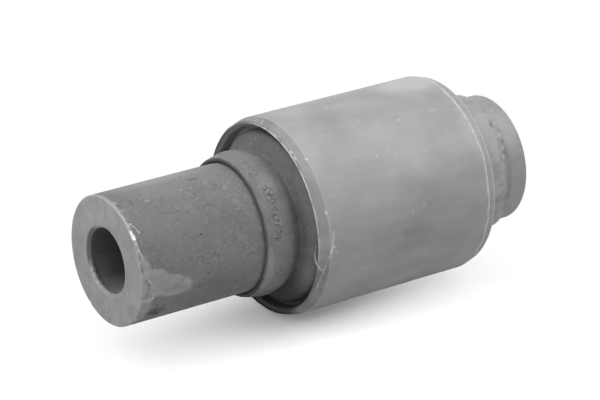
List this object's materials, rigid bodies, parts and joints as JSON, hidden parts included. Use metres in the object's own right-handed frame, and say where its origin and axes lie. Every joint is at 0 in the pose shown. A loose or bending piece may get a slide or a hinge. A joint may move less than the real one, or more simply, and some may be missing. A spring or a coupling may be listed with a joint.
{
  "type": "rubber metal bush",
  "caption": "Bonded bush: a thick steel inner sleeve with one long and one short bare end, moulded rubber with lipped collars, and a thin steel outer sleeve.",
  "frame": {"origin": "centre of the short end's face, on which the bush stands", "axes": "+Z along the bush's axis, towards the long end of the inner sleeve"},
  "size_m": [0.0402, 0.0402, 0.092],
  "materials": {
    "inner_steel": "dark, finely pebbled phosphate coat with a bare turned end face",
    "rubber": "moulded, satin, slightly marked",
    "outer_steel": "drawn and turned steel, dull satin, faint rings"
  },
  "bodies": {
    "root": {"inner_sleeve": "inner_steel", "rubber": "rubber", "outer_sleeve": "outer_steel"}
  },
  "joints": []
}
